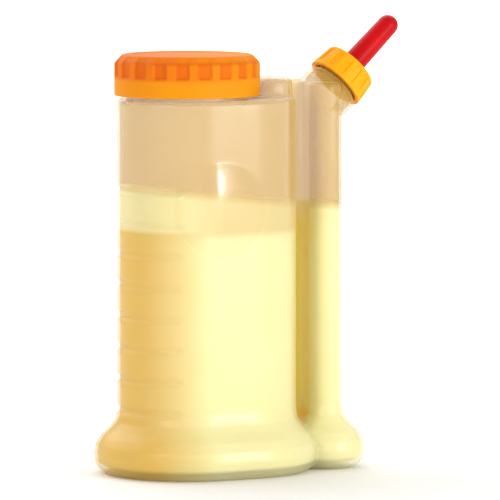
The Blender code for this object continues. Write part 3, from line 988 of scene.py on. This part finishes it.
def bottle_plastic():
    """Natural polyethylene: tan where the bottle is empty, the liquid's colour where that stands behind, with
    painted shade: gold towards the outer end below the liquid's level, and saturated yellow in the crease
    between the chambers.
    """
    material, nodes, links, shader = new_material("natural_polyethylene")
    split = position(nodes, links)
    cloud = noise(nodes, links, 38, 3.0)
    streaks = noise(nodes, links, 160, 3.0, (1, 1, 0.35))
    empty = mix(nodes, links, cloud.outputs["Fac"], linear(211, 171, 78), linear(218, 181, 93))
    wet = liquid_tint_and_shade(nodes, links, split, cloud)
    body = mix(nodes, links, above_film(nodes, links, split), wet, empty)
    body = mix(nodes, links, veil(nodes, links, split), body, empty)
    crease_shade, lit = crease_shade_masks(nodes, links, split)
    # Painted shade in the crease between the chambers: saturated yellow below the liquid's level, paler above
    # it.
    crease_shade_tint = mix(nodes, links, lit, linear(252, 228, 168), linear(255, 218, 22))
    links.new(mix(nodes, links, crease_shade, body, crease_shade_tint), shader.inputs["Base Color"])
    satin = ramp(nodes, links, streaks.outputs["Fac"], 0.3, 0.7, 0.29, 0.35)
    polish = ramp(nodes, links, from_dome(nodes, links, split), DOME_R - 0.0004, DOME_R, 0.15, 0.0)
    links.new(math_node(nodes, links, "SUBTRACT", satin, polish), shader.inputs["Roughness"])
    shader.inputs["Alpha"].default_value = WALL_ALPHA
    add_bump(nodes, links, shader, streaks.outputs["Fac"], GRAIN)
    return material


def from_dome(nodes, links, split):
    """Distance from the axis of the two domes, which the mould polishes."""
    x = math_node(nodes, links, "SUBTRACT", split.outputs["X"], LID_X + DOME_S)
    z = math_node(nodes, links, "SUBTRACT", split.outputs["Z"], DOME_Z)
    return distance(nodes, links, x, z)


def above_film(nodes, links, split):
    """0 below the wet film's upper edge and 1 above it."""
    fall = math_node(nodes, links, "MULTIPLY", split.outputs["X"], FILM_FALL)
    level = math_node(nodes, links, "ADD", split.outputs["Z"], fall)
    return ramp(nodes, links, level, FILM_EDGE_Z - 0.0024, FILM_EDGE_Z + 0.0024, 0.0, 1.0)


def veil(nodes, links, split):
    """A share of the empty wall's tint above the liquid, none at the outer end or on the standpipe."""
    front = ramp(nodes, links, split.outputs["X"], -0.046, -0.030, 0.0, 0.38)
    lower = ramp(nodes, links, split.outputs["Z"], 0.1085, 0.1115, 0.0, 1.0)
    pipe = ramp(nodes, links, split.outputs["X"], 0.020, 0.024, 1.0, 0.0)
    return math_node(nodes, links, "MULTIPLY", math_node(nodes, links, "MULTIPLY", front, lower), pipe)


def liquid_tint_and_shade(nodes, links, split, cloud):
    """The liquid's pale yellow, with painted shade: it deepens to gold towards the reservoir's outer end, the
    shaded side, below the liquid's level.
    """
    pale = mix(nodes, links, cloud.outputs["Fac"], linear(254, 246, 186), linear(255, 249, 200))
    # Painted shade: the gold stands for the shade on the outer end below the liquid's level.
    gold_shade = mix(nodes, links, cloud.outputs["Fac"], linear(236, 200, 98), linear(243, 210, 116))
    outer = ramp(nodes, links, split.outputs["X"], -0.038, -0.063, 0.0, 1.0)
    below = ramp(nodes, links, split.outputs["Z"], 0.1105, 0.1125, 1.0, 0.0)
    return mix(nodes, links, math_node(nodes, links, "MULTIPLY", outer, below), pale, gold_shade)


def crease_shade_masks(nodes, links, split):
    """Masks for painted shade: 1 in the pinched web between the chambers, where saturated yellow stands in
    for shade and light bounced in the deep crease, and 1 up to the level of the liquid beside it.
    """
    across = math_node(nodes, links, "SUBTRACT", split.outputs["X"], SLOT_X)
    across = math_node(nodes, links, "ABSOLUTE", across)
    depth = math_node(nodes, links, "ABSOLUTE", split.outputs["Y"])
    near_x = ramp(nodes, links, across, 0.0034, 0.0042, 1.0, 0.0)
    near_y = ramp(nodes, links, depth, 0.0070, 0.0095, 1.0, 0.0)
    below = ramp(nodes, links, split.outputs["Z"], 0.112, 0.124, 1.0, 0.0)
    return math_node(nodes, links, "MULTIPLY", near_x, near_y), below


def liquid():
    """A thick, opaque, pale yellow liquid, with painted shade: gold towards the outer end and saturated
    yellow in the crease between the chambers.
    """
    material, nodes, links, shader = new_material("thick_liquid")
    cloud = noise(nodes, links, 30, 3.0)
    split = position(nodes, links)
    crease_shade, _ = crease_shade_masks(nodes, links, split)
    body = liquid_tint_and_shade(nodes, links, split, cloud)
    # Painted shade: saturated yellow in the crease between the chambers.
    links.new(mix(nodes, links, crease_shade, body, linear(255, 218, 40)), shader.inputs["Base Color"])
    links.new(ramp(nodes, links, cloud.outputs["Fac"], 0.3, 0.7, 0.30, 0.42), shader.inputs["Roughness"])
    shader.inputs["Subsurface Weight"].default_value = 0.8
    shader.inputs["Subsurface Radius"].default_value = (0.020, 0.013, 0.003)
    shader.inputs["Subsurface Scale"].default_value = 1.0
    add_bump(nodes, links, shader, cloud.outputs["Fac"], 0.0003)
    return material


def film_material(name, alpha):
    """The same liquid as a wet film."""
    material, nodes, links, shader = new_material(name)
    runs = noise(nodes, links, 45, 4.0, (1, 1, 0.25))
    tint = mix(nodes, links, runs.outputs["Fac"], linear(255, 228, 140), linear(255, 236, 162))
    links.new(tint, shader.inputs["Base Color"])
    links.new(ramp(nodes, links, runs.outputs["Fac"], 0.3, 0.7, 0.30, 0.42), shader.inputs["Roughness"])
    shader.inputs["Alpha"].default_value = alpha
    add_bump(nodes, links, shader, runs.outputs["Fac"], 0.0002)
    return material


# ---------------------------------------------------------------- studio


def area_light(name, target, azimuth, elevation, far, size, power, colour):
    """A softbox that faces target: azimuth in degrees from -Y towards +X, elevation up from the horizon."""
    light = bpy.data.lights.new(name, "AREA")
    light.shape = "RECTANGLE"
    light.size, light.size_y = size
    light.energy = power
    light.color = colour
    obj = bpy.data.objects.new(name, light)
    bpy.context.scene.collection.objects.link(obj)
    a, e = math.radians(azimuth), math.radians(elevation)
    away = Vector((math.sin(a) * math.cos(e), -math.cos(a) * math.cos(e), math.sin(e)))
    obj.location = Vector(target) + away * far
    obj.rotation_euler = (-away).to_track_quat("-Z", "Y").to_euler()


def studio_floor(reach=12.0):
    """A wide pale floor, which the backdrop's light turns white."""
    corners = [(-reach, -reach, 0), (reach, -reach, 0), (reach, reach, 0), (-reach, reach, 0)]
    mesh = bpy.data.meshes.new("studio_floor")
    mesh.from_pydata(corners, [], [(0, 1, 2, 3)])
    floor = add_object("studio_floor", mesh)
    material, nodes, links, shader = new_material("pale_floor")
    speck = noise(nodes, links, 8, 2.0)
    tint = mix(nodes, links, speck.outputs["Fac"], linear(250, 250, 249), linear(247, 247, 246))
    links.new(tint, shader.inputs["Base Color"])
    shader.inputs["Roughness"].default_value = 0.9
    shader.inputs["Specular IOR Level"].default_value = 0.1
    floor.data.materials.append(material)


def studio():
    """A pale floor, an even white surrounding, one large light over the floor behind and the softboxes."""
    studio_floor()
    world = bpy.data.worlds.new("studio_world")
    bpy.context.scene.world = world
    world.use_nodes = True
    background = world.node_tree.nodes["Background"]
    background.inputs["Color"].default_value = (*WHITE, 1)
    background.inputs["Strength"].default_value = WORLD_STRENGTH
    area_light("backdrop_light", (0, 3.6, 0), 0, 90, 2.2, (6.5, 5.6), 240, WHITE)
    for name, *settings in SOFTBOXES:
        area_light(name, MIDDLE, *settings)


def camera():
    """A long lens, 27 degrees round from the front towards the reservoir's end and 5 above the horizon."""
    far, elevation, turn = 2.5, math.radians(5), math.radians(-27)
    field = 0.228  # width of the view at the bottle
    data = bpy.data.cameras.new("camera")
    data.sensor_width = 36
    data.lens = data.sensor_width * far / field
    data.clip_end = 100
    obj = bpy.data.objects.new("camera", data)
    bpy.context.scene.collection.objects.link(obj)
    target = Vector((LID_X + 0.0319, 0, 0.1))
    level = math.cos(elevation)
    away = Vector((math.sin(turn) * level, -math.cos(turn) * level, math.sin(elevation)))
    obj.location = target + away * far
    obj.rotation_euler = (-away).to_track_quat("-Z", "Y").to_euler()
    bpy.context.scene.camera = obj


def add_films():
    """The wet films, which the CAD model doesn't have."""
    for wet, alpha in ((thin_film(), THIN_ALPHA), (thick_film(), THICK_ALPHA)):
        shade(wet, film_material(wet.name, alpha), FILM_SHARP)
        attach(wet, "bottle")


def main():
    """Builds the camera, the studio and every visible piece."""
    camera()
    studio()
    finish_piece(bottle(), "bottle", "bottle_body", bottle_plastic())
    finish_piece(contents(), "bottle", "fill", liquid())
    add_films()
    finish_piece(lid(), "lid", "reservoir_lid", lid_plastic())
    foam = moulded_plastic("foam", linear(238, 236, 228), linear(230, 228, 220), 0.7, 1500)
    finish_piece(liner(), "lid_seal", "lid_liner", foam)
    amber = moulded_plastic("amber_plastic", linear(255, 176, 12), linear(255, 166, 8), 0.42, 900)
    finish_piece(collar(), "collar", "spout_collar", amber)
    seal = moulded_plastic("soft_seal", linear(236, 234, 226), linear(228, 226, 218), 0.6, 1500)
    finish_piece(gasket(), "nozzle", "spout_gasket", seal)
    milky = moulded_plastic("nozzle_plastic", linear(242, 234, 214), linear(236, 226, 204), 0.35, 1200, 0.2)
    finish_piece(nozzle(), "nozzle", "spout_nozzle", milky)
    red = moulded_plastic("red_plastic", linear(200, 4, 12), linear(184, 3, 9), 0.42, 900)
    finish_piece(cover(), "cover", "tip_cover", red)
    bpy.context.scene.view_settings.view_transform = "Standard"
    bpy.context.scene.cycles.transparent_max_bounces = 32


main()
